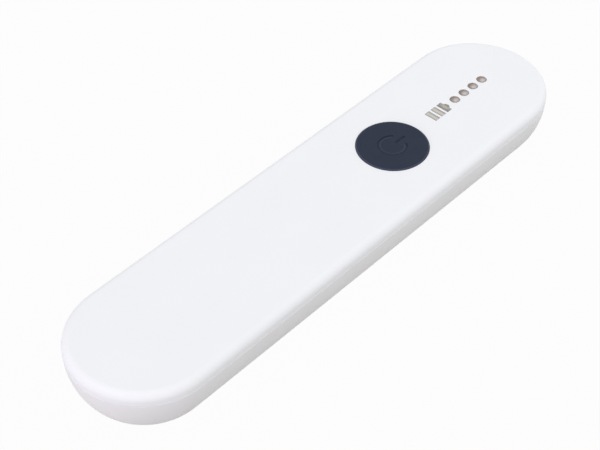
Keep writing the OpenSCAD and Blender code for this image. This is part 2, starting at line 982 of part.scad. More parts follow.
// Cross recess cut down from z, or up into a head that faces down when up is true.
module cross_slot(z, up = false) {
    slot = [1.8, 0.35, 0.6];
    for (a = [0, 90])
        rotate([0, 0, a])
            block(0, 0, up ? z - cut : z - slot[2], [slot[0], slot[1], slot[2] + cut]);
}

module board_screws() {
    color(metal)
        at_board_screws()
            difference() {
                union() {
                    post(0, 0, board_low - touch, board_screw_r, board_t + board_screw_grip + touch);
                    post(0, 0, board_low - board_screw_head_t, board_screw_head_r, board_screw_head_t);
                }
                cross_slot(board_low - board_screw_head_t, up = true);
            }
}

module case_screws() {
    color(metal)
        at_case_screws()
            difference() {
                union() {
                    post(0, 0, screw_seat - touch, case_screw_r, case_screw_top - screw_seat + touch);
                    post(0, 0, screw_seat - case_head_t, case_head_r, case_head_t);
                }
                cross_slot(screw_seat - case_head_t, up = true);
            }
}

module screw_plugs() {
    color(lower_white)
        at_case_screws()
            post(0, 0, plug_inset, counterbore_r - touch, plug_t);
}

top_cover();
bottom_shell();
power_button();
gauge_light_guide();
gauge_light_baffle();
gauge_leds();
main_board();
switch_base();
switch_cover();
switch_dome();
switch_plunger();
controller_ic();
charger_ic();
tilt_sensor_ic();
boost_inductor();
board_capacitors();
usb_socket_shell();
usb_socket_insert();
battery_cell();
battery_guard_board();
battery_tape();
battery_header();
battery_plug();
battery_lead_plus();
battery_lead_minus();
lamp_window();
window_gasket();
reflector_tray();
lamp_board();
uv_leds();
uv_led_lids();
heat_spreader();
lamp_screws();
lamp_header();
lamp_plug();
lamp_lead_plus();
lamp_lead_minus();
board_screws();
case_screws();
screw_plugs();
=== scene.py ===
"""Looks for a cordless hand-held UV-C steriliser wand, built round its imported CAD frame.

X runs towards the charging end, Z is up and the underside lies at z = 0. Lengths are in millimetres, and MM
turns them into metres where they reach a mesh.
"""

from __future__ import annotations

import json
import logging
import math
from collections.abc import Callable, Iterable
from dataclasses import dataclass, field, replace
from enum import Enum

import bmesh
import bpy
from bmesh.types import BMEdge, BMFace, BMesh
from bpy.types import Material, Node, NodeSocket, NodeTree, Object
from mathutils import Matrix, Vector

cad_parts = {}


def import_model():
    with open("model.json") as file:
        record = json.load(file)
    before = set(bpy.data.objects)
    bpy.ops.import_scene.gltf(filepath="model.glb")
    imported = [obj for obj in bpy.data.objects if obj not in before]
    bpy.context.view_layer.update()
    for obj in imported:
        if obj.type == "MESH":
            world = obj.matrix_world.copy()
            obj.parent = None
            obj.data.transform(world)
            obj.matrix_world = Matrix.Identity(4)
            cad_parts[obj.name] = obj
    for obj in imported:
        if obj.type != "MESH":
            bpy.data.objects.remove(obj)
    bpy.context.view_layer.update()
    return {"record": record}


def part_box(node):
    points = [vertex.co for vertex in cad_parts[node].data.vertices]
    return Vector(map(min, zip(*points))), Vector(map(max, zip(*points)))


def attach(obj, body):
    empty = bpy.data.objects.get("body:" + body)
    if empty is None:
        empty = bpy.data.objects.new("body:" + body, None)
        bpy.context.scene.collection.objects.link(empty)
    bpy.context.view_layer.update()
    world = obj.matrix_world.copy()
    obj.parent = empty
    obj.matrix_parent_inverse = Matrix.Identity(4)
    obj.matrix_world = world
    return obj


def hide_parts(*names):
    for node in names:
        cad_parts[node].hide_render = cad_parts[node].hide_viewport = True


LOG = logging.getLogger("wand")

# Metres in a millimetre and in a micron
MM = 0.001
MICRON = 0.000001
# In millimetres: points nearer than MERGE are one, heights within CLOSE are the same, FAR is past every point
MERGE = 0.0001
CLOSE = 0.002
FAR = 1000.0
# Least upward part of the normal of a face that is about level, and of one that is quite flat
LEVEL = 0.9
FLAT = 0.999
# In degrees: faces closer than this are one flat face, and a sharper edge than CREASE shades as an edge
FLAT_WITHIN = 0.4
CREASE = 50.0
# Widest face that is left whole, and the weight at which a large face alone sets the shading
QUAD = 4
FULL_WEIGHT = 100
# The display curve: where it turns straight, its slope there, its offset and its power
FULL_LEVEL = 255
KNEE = 10
SLOPE = 12.92
OFFSET = 0.055
POWER = 2.4
# Length of a Wave Texture's wave at a scale of 1
WAVE = math.pi / 10
# Range that most of a noise's values lie in
MOST_NOISE = (0.3, 0.7)

Colour = tuple[float, float, float, float]
WHITE: Colour = (1.0, 1.0, 1.0, 1.0)


def linear(level: int) -> float:
    """Turns one channel of a display colour into linear light.

    Args:
        level: The channel, from 0 to 255.

    Returns:
        The linear level, from 0 to 1.
    """
    share = level / FULL_LEVEL
    if level <= KNEE:
        return share / SLOPE
    return ((share + OFFSET) / (1 + OFFSET)) ** POWER


def srgb(red: int, green: int, blue: int) -> Colour:
    """Turns a display colour into the linear one that a shader takes.

    Args:
        red: Red, from 0 to 255.
        green: Green, from 0 to 255.
        blue: Blue, from 0 to 255.

    Returns:
        The linear colour, opaque.
    """
    return (linear(red), linear(green), linear(blue), 1.0)


def shade(colour: Colour, factor: float) -> Colour:
    """Makes a colour lighter or darker.

    Args:
        colour: The colour to start from.
        factor: How many times as light it gets.

    Returns:
        The new colour, no channel above 1.
    """
    red, green, blue = (min(1.0, level * factor) for level in colour[:3])
    return (red, green, blue, 1.0)


def direction(heading: float, height: float) -> Vector:
    """Gives the unit vector that points a given way.

    Args:
        heading: Angle from X towards Y, in degrees.
        height: Angle above the floor, in degrees.

    Returns:
        The vector.
    """
    turn, rise = math.radians(heading), math.radians(height)
    return Vector((math.cos(turn) * math.cos(rise), math.sin(turn) * math.cos(rise), math.sin(rise)))


@dataclass(frozen=True)
class Span:
    """Where a CAD node lies, in millimetres."""

    low: Vector
    high: Vector

    @classmethod
    def of(cls, node: str) -> Span:
        """Reads a node's box from the frame.

        Args:
            node: Name of the CAD node.

        Returns:
            Its box at rest.
        """
        low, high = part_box(node)
        return cls(low / MM, high / MM)

    @property
    def centre(self) -> Vector:
        """The middle of the box."""
        return (self.low + self.high) / 2

    @property
    def size(self) -> Vector:
        """The box's three sides."""
        return self.high - self.low


class ShaderGraph:
    """One material's nodes, read on Object coordinates in millimetres."""

    def __init__(self, name: str) -> None:
        """Starts a material with its shader.

        Args:
            name: Name of the material.
        """
        self.material: Material = bpy.data.materials.new(name)
        self.material.use_nodes = True
        self._tree = self.material.node_tree
        self.shader: Node = next(n for n in self._tree.nodes if n.type == "BSDF_PRINCIPLED")
        coordinates = self._tree.nodes.new("ShaderNodeTexCoord")
        self.place = self.mapped(coordinates.outputs["Object"], (1 / MM,) * 3)

    def set(self, socket: str, value: float | Colour) -> None:
        """Sets one of the shader's own sockets.

        Args:
            socket: Name of the socket.
            value: What it holds.
        """
        self.shader.inputs[socket].default_value = value

    def drive(self, socket: str, source: NodeSocket) -> None:
        """Links a pattern to one of the shader's sockets.

        Args:
            socket: Name of the socket.
            source: The pattern.
        """
        self._tree.links.new(source, self.shader.inputs[socket])

    def mapped(self, source: NodeSocket, scale: tuple[float, float, float], turn: float = 0.0) -> NodeSocket:
        """Scales and turns coordinates.

        Args:
            source: The coordinates.
            scale: Factor along each axis.
            turn: Angle about Z in degrees.

        Returns:
            The new coordinates.
        """
        node = self._tree.nodes.new("ShaderNodeMapping")
        node.inputs["Scale"].default_value = scale
        node.inputs["Rotation"].default_value = (0.0, 0.0, math.radians(turn))
        self._tree.links.new(source, node.inputs["Vector"])
        return node.outputs["Vector"]

    def noise(self, size: float, detail: float = 2.0, place: NodeSocket | None = None) -> NodeSocket:
        """Adds cloudy noise.

        Args:
            size: Size of a cloud in millimetres.
            detail: Number of finer octaves.
            place: Coordinates, if not the plain ones.

        Returns:
            The noise, from 0 to 1.
        """
        node = self._tree.nodes.new("ShaderNodeTexNoise")
        node.inputs["Scale"].default_value = 1 / size
        node.inputs["Detail"].default_value = detail
        self._tree.links.new(place or self.place, node.inputs["Vector"])
        return node.outputs["Fac"]

    def cells(
        self, size: float, feature: str = "F1", metric: str = "EUCLIDEAN", dimensions: str = "3D"
    ) -> NodeSocket:
        """Adds a pattern of cells.

        Args:
            size: Size of a cell in millimetres.
            feature: Which distance is read.
            metric: How distance is measured.
            dimensions: "3D", or "2D" for cells that run through along Z.

        Returns:
            The distance in each cell.
        """
        node = self._tree.nodes.new("ShaderNodeTexVoronoi")
        node.feature = feature
        node.distance = metric
        node.voronoi_dimensions = dimensions
        node.inputs["Scale"].default_value = 1 / size
        self._tree.links.new(self.place, node.inputs["Vector"])
        return node.outputs["Distance"]

    def bands(self, pitch: float, axis: str, place: NodeSocket | None = None) -> NodeSocket:
        """Adds parallel waves.

        Args:
            pitch: Distance between waves in millimetres.
            axis: X or Y, the one that the waves run across.
            place: Coordinates, if not the plain ones.

        Returns:
            The wave's height, from 0 to 1.
        """
        node = self._tree.nodes.new("ShaderNodeTexWave")
        node.bands_direction = axis
        node.inputs["Scale"].default_value = WAVE / pitch
        self._tree.links.new(place or self.place, node.inputs["Vector"])
        return node.outputs["Fac"]

    def reach(self, centre: tuple[float, float], pitch: float = 0.0, stretch: float = 1.0) -> NodeSocket:
        """Measures the distance from an upright axis, or from the nearest of a row of them along X.

        Args:
            centre: Where the first axis stands, in millimetres.
            pitch: Distance between axes, or 0 for one alone.
            stretch: How many times as long the pattern is along Y.

        Returns:
            The distance in millimetres.
        """
        source = self.place
        if pitch:
            wrap = self._tree.nodes.new("ShaderNodeVectorMath")
            wrap.operation = "WRAP"
            wrap.inputs[1].default_value = (centre[0] + pitch / 2, FAR, FAR)
            wrap.inputs[2].default_value = (centre[0] - pitch / 2, -FAR, -FAR)
            self._tree.links.new(source, wrap.inputs[0])
            source = wrap.outputs["Vector"]
        node = self._tree.nodes.new("ShaderNodeVectorMath")
        node.operation = "DISTANCE"
        node.inputs[1].default_value = (centre[0], centre[1] / stretch, 0.0)
        self._tree.links.new(self.mapped(source, (1.0, 1 / stretch, 0.0)), node.inputs[0])
        return node.outputs["Value"]

    def remap(self, source: NodeSocket, take: tuple[float, float], give: tuple[float, float]) -> NodeSocket:
        """Stretches a range of values onto another.

        Args:
            source: The values.
            take: Range to read.
            give: Range to write.

        Returns:
            The new values, held inside the range.
        """
        node = self._tree.nodes.new("ShaderNodeMapRange")
        for socket, value in zip(("From Min", "From Max", "To Min", "To Max"), (*take, *give)):
            node.inputs[socket].default_value = value
        self._tree.links.new(source, node.inputs["Value"])
        return node.outputs["Result"]

    def combine(self, operation: str, first: NodeSocket, second: NodeSocket | float) -> NodeSocket:
        """Joins two patterns by arithmetic.

        Args:
            operation: Name of the Math node's operation.
            first: First pattern.
            second: Second pattern, or a number.

        Returns:
            The result.
        """
        node = self._tree.nodes.new("ShaderNodeMath")
        node.operation = operation
        self._tree.links.new(first, node.inputs[0])
        if isinstance(second, float):
            node.inputs[1].default_value = second
        else:
            self._tree.links.new(second, node.inputs[1])
        return node.outputs["Value"]

    def blend(self, factor: NodeSocket, low: Colour | NodeSocket, high: Colour | NodeSocket) -> NodeSocket:
        """Mixes two colours by a pattern.

        Args:
            factor: The pattern, from 0 to 1.
            low: Colour, or coloured pattern, where it is 0.
            high: Colour, or coloured pattern, where it is 1.

        Returns:
            The mixed colour.
        """
        node = self._tree.nodes.new("ShaderNodeMix")
        node.data_type = "RGBA"
        for socket, colour in zip((s for s in node.inputs if s.type == "RGBA"), (low, high)):
            if isinstance(colour, NodeSocket):
                self._tree.links.new(colour, socket)
            else:
                socket.default_value = colour
        self._tree.links.new(factor, node.inputs["Factor"])
        return next(s for s in node.outputs if s.type == "RGBA")

    def bump(self, height: NodeSocket, depth: float, under: NodeSocket | None = None) -> NodeSocket:
        """Turns a pattern into relief.

        Args:
            height: The pattern, from 0 to 1.
            depth: Height of the relief in microns.
            under: Relief that this one lies on.

        Returns:
            The new normal.
        """
        node = self._tree.nodes.new("ShaderNodeBump")
        node.inputs["Distance"].default_value = depth * MICRON
        self._tree.links.new(height, node.inputs["Height"])
        if under is not None:
            self._tree.links.new(under, node.inputs["Normal"])
        return node.outputs["Normal"]


class Grain(Enum):
    """The small-scale relief that a surface has."""

    MOULDED = "moulded"
    BRUSHED = "brushed"
    MASKED = "masked board"
    EMBOSSED = "embossed"
    FIBROUS = "fibrous"
    SINTERED = "sintered"


@dataclass(frozen=True)
class Ring:
    """A mark round an upright axis, or round each of a row of them along X.

    The colour is full at the distance full, and gone at the distance none, in millimetres.
    """

    centre: tuple[float, float]
    full: float
    none: float
    colour: Colour
    pitch: float = 0.0
    stretch: float = 1.0


@dataclass(frozen=True)
class Finish:
    """A surface finish: colour, sheen and the fine texture that it has in the hand.

    grain_size is in millimetres and grain_depth in microns. The colour drifts by the share drift either way,
    in clouds of drift_size millimetres.
    """

    name: str
    colour: Colour
    roughness: float
    grain: Grain = Grain.MOULDED
    grain_size: float = 0.25
    grain_depth: float = 2.0
    drift: float = 0.012
    drift_size: float = 9.0
    sheen: dict[str, float | Colour] = field(default_factory=dict)
    rings: tuple[Ring, ...] = ()

    ROUGHNESS_SWING = 0.08
    SCUFFS_PER_CLOUD = 6
    SCUFF_DETAIL = 3.0
    TRACK_SHADE = 1.5
    TRACK_EDGE = (0.07, 0.11)
    CLOUD_SHARE = 0.3
    BRUSHED_ALONG = (0.06, 1.0, 1.0)
    BRUSHED_DETAIL = 3.0
    FIBRES_ALONG = (0.3, 1.0, 1.0)
    FIBRE_DETAIL = 4.0
    FIBRE_TURN = 20.0
    LATTICE_TURN = 45.0

    def material(self) -> Material:
        """Makes the material, or finds it if it is made.

        Returns:
            The material.
        """
        found = bpy.data.materials.get(self.name)
        if found is not None:
            return found
        graph = ShaderGraph(self.name)
        clouds = graph.noise(self.drift_size)
        spread = graph.remap(clouds, MOST_NOISE, (0.0, 1.0))
        low, high = shade(self.colour, 1 - self.drift), shade(self.colour, 1 + self.drift)
        tint = self._tinted(graph, spread, low, high)
        for ring in self.rings:
            away = graph.reach(ring.centre, ring.pitch, ring.stretch)
            tint = graph.blend(graph.remap(away, (ring.full, ring.none), (1.0, 0.0)), tint, ring.colour)
        graph.drive("Base Color", tint)
        scuffs = graph.noise(self.drift_size / self.SCUFFS_PER_CLOUD, self.SCUFF_DETAIL)
        smooth = self.roughness * (1 - self.ROUGHNESS_SWING)
        rough = min(1.0, self.roughness * (1 + self.ROUGHNESS_SWING))
        graph.drive("Roughness", graph.remap(scuffs, MOST_NOISE, (smooth, rough)))
        for socket, value in self.sheen.items():
            graph.set(socket, value)
        graph.drive("Normal", graph.bump(self._relief(graph), self.grain_depth))
        return graph.material

    def _tinted(self, graph: ShaderGraph, spread: NodeSocket, low: Colour, high: Colour) -> NodeSocket:
        """Gives the colour, with the grain's own marks.

        Args:
            graph: The material's nodes.
            spread: Slow drift of the colour.
            low: Colour at one end of the drift.
            high: Colour at the other end.

        Returns:
            The colour.
        """
        if self.grain is Grain.MASKED:
            high = shade(self.colour, self.TRACK_SHADE)
            faint = graph.combine("MULTIPLY", spread, self.CLOUD_SHARE)
            spread = graph.combine("MAXIMUM", self._tracks(graph), faint)
        return graph.blend(spread, low, high)

    def _tracks(self, graph: ShaderGraph) -> NodeSocket:
        """Gives the courses of the tracks under a board's mask, straight or at 45 degrees.

        Args:
            graph: The material's nodes.

        Returns:
            1 on a track, 0 beside it.
        """
        nearest = graph.cells(self.grain_size, "F1", "CHEBYCHEV", "2D")
        next_nearest = graph.cells(self.grain_size, "F2", "CHEBYCHEV", "2D")
        return graph.remap(graph.combine("SUBTRACT", next_nearest, nearest), self.TRACK_EDGE, (1.0, 0.0))

    def _relief(self, graph: ShaderGraph) -> NodeSocket:
        """Gives the height of the fine texture.

        Args:
            graph: The material's nodes.

        Returns:
            The height, from 0 to 1.
        """
        if self.grain is Grain.BRUSHED:
            strokes = graph.mapped(graph.place, self.BRUSHED_ALONG)
            return graph.noise(self.grain_size, self.BRUSHED_DETAIL, strokes)
        if self.grain is Grain.MASKED:
            return self._tracks(graph)
        if self.grain is Grain.EMBOSSED:
            lattice = graph.mapped(graph.place, (1.0, 1.0, 1.0), self.LATTICE_TURN)
            across, along = (graph.bands(self.grain_size, axis, lattice) for axis in "XY")
            return graph.combine("MULTIPLY", across, along)
        if self.grain is Grain.FIBROUS:
            fibres = graph.mapped(graph.place, self.FIBRES_ALONG, self.FIBRE_TURN)
            return graph.noise(self.grain_size, self.FIBRE_DETAIL, fibres)
        if self.grain is Grain.SINTERED:
            return graph.cells(self.grain_size)
        return graph.noise(self.grain_size)


WHITE_COVER = Finish(
    "satin white cover",
    srgb(242, 243, 247),
    0.42,
    grain_size=0.2,
    grain_depth=9.0,
    drift=0.006,
    drift_size=14.0,
)
WHITE_SHELL = replace(
    WHITE_COVER,
    name="satin white shell",
    colour=srgb(237, 236, 239),
    roughness=0.45,
    grain_size=0.24,
    grain_depth=12.0,
)
SLATE = Finish(
    "soft-touch slate",
    srgb(34, 43, 61),
    0.55,
    grain_size=0.12,
    grain_depth=4.0,
    drift=0.06,
    drift_size=5.0,
    sheen={"Specular IOR Level": 0.2},
)
# Paler slate painted round the button's rim: a painted highlight where the rim catches light
SLATE_RIM_HIGHLIGHT = srgb(74, 78, 101)
# Lit and shaded copies of the slate for the power sign's groove: painted light on its outward walls, painted
# shade on the rest
GROOVE_PAINTED_LIGHT = replace(SLATE, name="soft-touch slate, outward wall", colour=srgb(48, 56, 74), drift=0.05)
GROOVE_PAINTED_SHADE = replace(SLATE, name="soft-touch slate, groove", colour=srgb(24, 31, 50), drift=0.05)
MILKY = Finish(
    "milky light guide",
    srgb(198, 186, 184),
    0.4,
    drift=0.02,
    drift_size=2.0,
    sheen={"Subsurface Weight": 0.2, "Subsurface Scale": 0.0005},
)
# The lenses are darker than the milky guide, a painted shade, and each carries a paler patch, a painted
# highlight
DOT_LENS_PAINTED_SHADE = replace(MILKY, name="dot lens, painted shade and highlight", colour=srgb(134, 121, 113), drift=0.05)
DOT_PAINTED_HIGHLIGHT = srgb(208, 200, 197)
BAR_LENS_PAINTED_SHADE = replace(MILKY, name="bar lens, painted shade and highlight", colour=srgb(160, 154, 148), drift=0.05)
BAR_PAINTED_HIGHLIGHT = srgb(208, 205, 196)
CAP_LENS_PAINTED_SHADE = replace(MILKY, name="battery cap lens", colour=srgb(140, 136, 130), drift=0.05)
CAP_PAINTED_HIGHLIGHT = srgb(186, 183, 177)
TINNED = Finish(
    "tinned steel",
    srgb(205, 206, 210),
    0.28,
    Grain.BRUSHED,
    grain_size=0.12,
    grain_depth=1.5,
    drift=0.03,
    sheen={"Metallic": 1.0},
)
GILT = replace(
    TINNED,
    name="gold flash",
    colour=srgb(232, 196, 122),
    roughness=0.3,
    grain_size=0.1,
    grain_depth=0.8,
    drift=0.02,
    drift_size=1.0,
)
PHOSPHOR = Finish(
    "phosphor window",
    srgb(232, 226, 150),
    0.35,
    Grain.SINTERED,
    grain_size=0.06,
    grain_depth=2.0,
    drift=0.04,
    drift_size=0.6,
)
AMBER_TAPE = Finish(
    "amber tape",
    srgb(196, 122, 38),
    0.25,
    Grain.FIBROUS,
    grain_size=0.6,
    grain_depth=6.0,
    drift=0.06,
    drift_size=3.0,
)
DIE = replace(
    PHOSPHOR,
    name="lamp die",
    colour=srgb(96, 92, 128),
    roughness=0.25,
    grain_size=0.05,
    grain_depth=0.5,
    drift=0.05,
    drift_size=0.5,
)
BLACK = Finish("black moulded plastic", srgb(40, 40, 43), 0.5, grain_size=0.15, drift=0.05)
BOARD = Finish(
    "green solder mask",
    srgb(28, 96, 62),
    0.35,
    Grain.MASKED,
    grain_size=3.2,
    grain_depth=18.0,
    drift=0.05,
)
FINISHES: dict[str, Finish] = {
    "cover_white": WHITE_COVER,
    "shell_white": WHITE_SHELL,
    "button_slate": SLATE,
    "guide_milky": MILKY,
    "black_plastic": BLACK,
    "board_green": BOARD,
    "board_white": replace(
        BOARD,
        name="white solder mask",
        colour=srgb(232, 232, 228),
        roughness=0.3,
        grain_depth=12.0,
        drift=0.02,
    ),
    "tinned_steel": TINNED,
    "screw_steel": Finish(
        "zinc-plated steel",
        srgb(190, 194, 202),
        0.34,
        Grain.SINTERED,
        grain_size=0.2,
        grain_depth=2.0,
        drift=0.06,
        drift_size=2.0,
        sheen={"Metallic": 1.0},
    ),
    "bright_aluminium": replace(
        TINNED,
        name="bright aluminium",
        colour=srgb(228, 230, 234),
        roughness=0.22,
        grain_size=0.2,
        grain_depth=1.0,
        drift=0.02,
    ),
    "plain_aluminium": replace(
        TINNED,
        name="milled aluminium",
        colour=srgb(205, 207, 210),
        roughness=0.38,
        grain_size=0.25,
        grain_depth=3.0,
    ),
    "pouch_foil": replace(
        TINNED,
        name="foil pouch",
        colour=srgb(192, 194, 198),
        roughness=0.4,
        grain=Grain.EMBOSSED,
        grain_size=0.9,
        grain_depth=25.0,
        drift=0.04,
    ),
    "quartz": Finish(
        "clear quartz",
        srgb(250, 252, 255),
        0.03,
        grain_size=4.0,
        grain_depth=0.3,
        drift=0.0,
        sheen={"Transmission Weight": 1.0, "IOR": 1.46},
    ),
    "chip_ceramic": Finish(
        "unglazed alumina",
        srgb(240, 234, 218),
        0.6,
        Grain.SINTERED,
        grain_size=0.08,
        grain_depth=3.0,
        drift=0.02,
    ),
    "capacitor_tan": Finish(
        "ceramic capacitor",
        srgb(176, 146, 108),
        0.55,
        Grain.SINTERED,
        grain_size=0.1,
        grain_depth=3.0,
        drift=0.05,
    ),
    "seal_rubber": Finish("black silicone", srgb(48, 48, 50), 0.6, grain_size=0.3, drift=0.04),
    "plug_rubber": Finish(
        "white silicone", srgb(230, 230, 232), 0.5, grain_size=0.3, grain_depth=4.0, drift=0.01
    ),
    "nylon_cream": Finish("cream nylon", srgb(232, 226, 208), 0.45, grain_size=0.2, drift=0.02),
    "lead_red": Finish("red lead", srgb(186, 40, 38), 0.4, drift=0.04),
    "lead_black": Finish("black lead", srgb(34, 34, 36), 0.4, drift=0.04),
    "tape_cream": Finish(
        "cream tape", srgb(222, 214, 190), 0.8, Grain.FIBROUS, grain_size=0.3, grain_depth=20.0, drift=0.04
    ),
}


class Workpiece:
    """A mesh under work, with the steps that several pieces share."""

    def __init__(self) -> None:
        """Starts from nothing."""
        self.mesh: BMesh = bmesh.new()
        self._others: list[Finish] = []

    @classmethod
    def copy_of(cls, node: str) -> Workpiece:
        """Copies a CAD node, merged, its flat faces made whole.

        Args:
            node: Name of the CAD node.

        Returns:
            The copy.
        """
        piece = cls()
        piece.mesh.from_mesh(bpy.data.objects[node].data)
        bmesh.ops.remove_doubles(piece.mesh, verts=piece.mesh.verts, dist=MERGE * MM)
        bmesh.ops.dissolve_limit(
            piece.mesh,
            angle_limit=math.radians(FLAT_WITHIN),
            verts=piece.mesh.verts,
            edges=piece.mesh.edges,
        )
        return piece

    def round_edges(
        self,
        radius: float,
        segments: int = 2,
        sharper_than: float = 30.0,
        where: Callable[[BMEdge], bool] | None = None,
    ) -> Workpiece:
        """Rounds the sharp edges.

        Args:
            radius: How far the rounding reaches from an edge, in millimetres.
            segments: Number of faces round an edge.
            sharper_than: Least angle of an edge that is rounded, in degrees.
            where: Which of those edges are rounded, if not all.

        Returns:
            The same workpiece.
        """
        least = math.radians(sharper_than)
        edges = [
            edge
            for edge in self.mesh.edges
            if edge.is_manifold and edge.calc_face_angle() > least and (where is None or where(edge))
        ]
        bmesh.ops.bevel(
            self.mesh,
            geom=edges,
            offset=radius * MM,
            offset_type="OFFSET",
            segments=segments,
            profile=0.5,
            affect="EDGES",
            clamp_overlap=False,
            material=-1,
            loop_slide=True,
        )
        return self

    def level_faces(self, height: float, downward: bool = False) -> list[BMFace]:
        """Finds the flat faces that lie at one height.

        Args:
            height: The height in millimetres.
            downward: Whether they look down.

        Returns:
            The faces, from left to right.
        """
        way = -1 if downward else 1
        found = [
            face
            for face in self.mesh.faces
            if face.normal.z * way > LEVEL and abs(face.calc_center_median().z / MM - height) < CLOSE
        ]
        return sorted(found, key=lambda face: face.calc_center_bounds().x)

    def paint(self, finish: Finish, faces: Iterable[BMFace]) -> Workpiece:
        """Gives some of the faces a finish of their own.

        Args:
            finish: Their finish.
            faces: The faces.

        Returns:
            The same workpiece.
        """
        self._others.append(finish)
        for face in faces:
            face.material_index = len(self._others)
        return self

    def finish(
        self, name: str, finish: Finish, body: str, slot: str, stands_for: Iterable[str] = ()
    ) -> Object:
        """Makes the object, dresses it and hangs it on its body.

        Args:
            name: Name of the piece.
            finish: Its finish.
            body: CAD body that it rides on.
            slot: Material slot of the record; not used.
            stands_for: CAD nodes that it replaces.

        Returns:
            The piece.
        """
        large = [face for face in self.mesh.faces if len(face.verts) > QUAD]
        bmesh.ops.triangulate(self.mesh, faces=large)
        crease = math.radians(CREASE)
        for face in self.mesh.faces:
            face.smooth = True
        for edge in self.mesh.edges:
            edge.smooth = not (edge.is_manifold and edge.calc_face_angle() > crease)
        data = bpy.data.meshes.new(name)
        self.mesh.to_mesh(data)
        self.mesh.free()
        piece = bpy.data.objects.new(name, data)
        bpy.context.scene.collection.objects.link(piece)
        for surface in (finish, *self._others):
            data.materials.append(surface.material())
        evened = piece.modifiers.new("Flat faces shade flat", "WEIGHTED_NORMAL")
        evened.keep_sharp = True
        evened.weight = FULL_WEIGHT
        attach(piece, body)
        nodes = list(stands_for)
        if nodes:
            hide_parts(*nodes)
        LOG.info("%s: %d faces on %s", name, len(data.polygons), body)
        return piece


@dataclass
class Case:
    """The two shells of the wand and the plugs over its screws."""

    rim: float = 0.06
    plug_edge: float = 0.2

    def build(self) -> None:
        """Builds the outside of the wand."""
        cover = Workpiece.copy_of("top_cover").round_edges(self.rim)
        cover.finish("cover", WHITE_COVER, "case", "cover_white", ["top_cover"])
        shell = Workpiece.copy_of("bottom_shell").round_edges(self.rim)
        shell.finish("shell", WHITE_SHELL, "case", "shell_white", ["bottom_shell"])
        plugs = Workpiece.copy_of("screw_plugs").round_edges(self.plug_edge)
        plugs.finish("plugs", FINISHES["plug_rubber"], "case", "plug_rubber", ["screw_plugs"])


@dataclass
class ThumbButton:
    """The round button on the top face, with its sunk power sign, a painted highlight round its rim and
    painted light and shade on the sign's walls.
    """

    radius: float = 10.0
    sign_reach: float = 4.6
    sign_depth: float = 0.25
    sign_lift: float = 0.08
    shoulder: float = 0.16
    shoulder_angle: float = 15.0
    # Width of the painted highlight round the button's rim, in millimetres
    rim_highlight_width: float = 0.4

    def build(self) -> None:
        """Builds the button."""
        span = Span.of("power_button")
        piece = Workpiece.copy_of("power_button")
        low = span.high.z - self.sign_depth
        bottom = [vert for vert in piece.mesh.verts if abs(vert.co.z / MM - low) < CLOSE]
        bmesh.ops.translate(piece.mesh, verts=bottom, vec=(0.0, 0.0, self.sign_lift * MM))
        piece.round_edges(
            self.shoulder, sharper_than=self.shoulder_angle, where=lambda edge: self._is_brink(edge, span)
        )
        # The groove's walls get painted shade, and those that look outward get painted light instead
        walls = [face for face in piece.mesh.faces if self._is_groove(face, span)]
        lit = [face for face in walls if self._looks_outward(face, span)]
        piece.paint(GROOVE_PAINTED_SHADE, walls).paint(GROOVE_PAINTED_LIGHT, lit)
        # The button's rim is painted paler, a painted highlight
        rim = Ring((span.centre.x, span.centre.y), self.radius, self.radius - self.rim_highlight_width, SLATE_RIM_HIGHLIGHT)
        piece.finish("button_cap", replace(SLATE, rings=(rim,)), "button", "button_slate", ["power_button"])

    def _is_brink(self, edge: BMEdge, span: Span) -> bool:
        """Tells whether an edge lies between the button's face and the sunk sign.

        Args:
            edge: The edge.
            span: Where the button lies.

        Returns:
            Whether it does.
        """
        return all(
            abs(vert.co.z / MM - span.high.z) < CLOSE
            and (vert.co.xy / MM - span.centre.xy).length < self.sign_reach
            for vert in edge.verts
        )

    def _is_groove(self, face: BMFace, span: Span) -> bool:
        """Tells whether a face belongs to the sunk sign.

        Args:
            face: The face.
            span: Where the button lies.

        Returns:
            Whether it does.
        """
        middle = face.calc_center_median() / MM
        near = (middle.xy - span.centre.xy).length < self.sign_reach
        return near and middle.z > span.high.z - self.sign_depth and 0 < face.normal.z < FLAT

    @staticmethod
    def _looks_outward(face: BMFace, span: Span) -> bool:
        """Tells whether a wall looks away from the button's middle.

        Args:
            face: The wall.
            span: Where the button lies.

        Returns:
            Whether it does.
        """
        return face.normal.xy.dot(face.calc_center_median().xy / MM - span.centre.xy) > 0


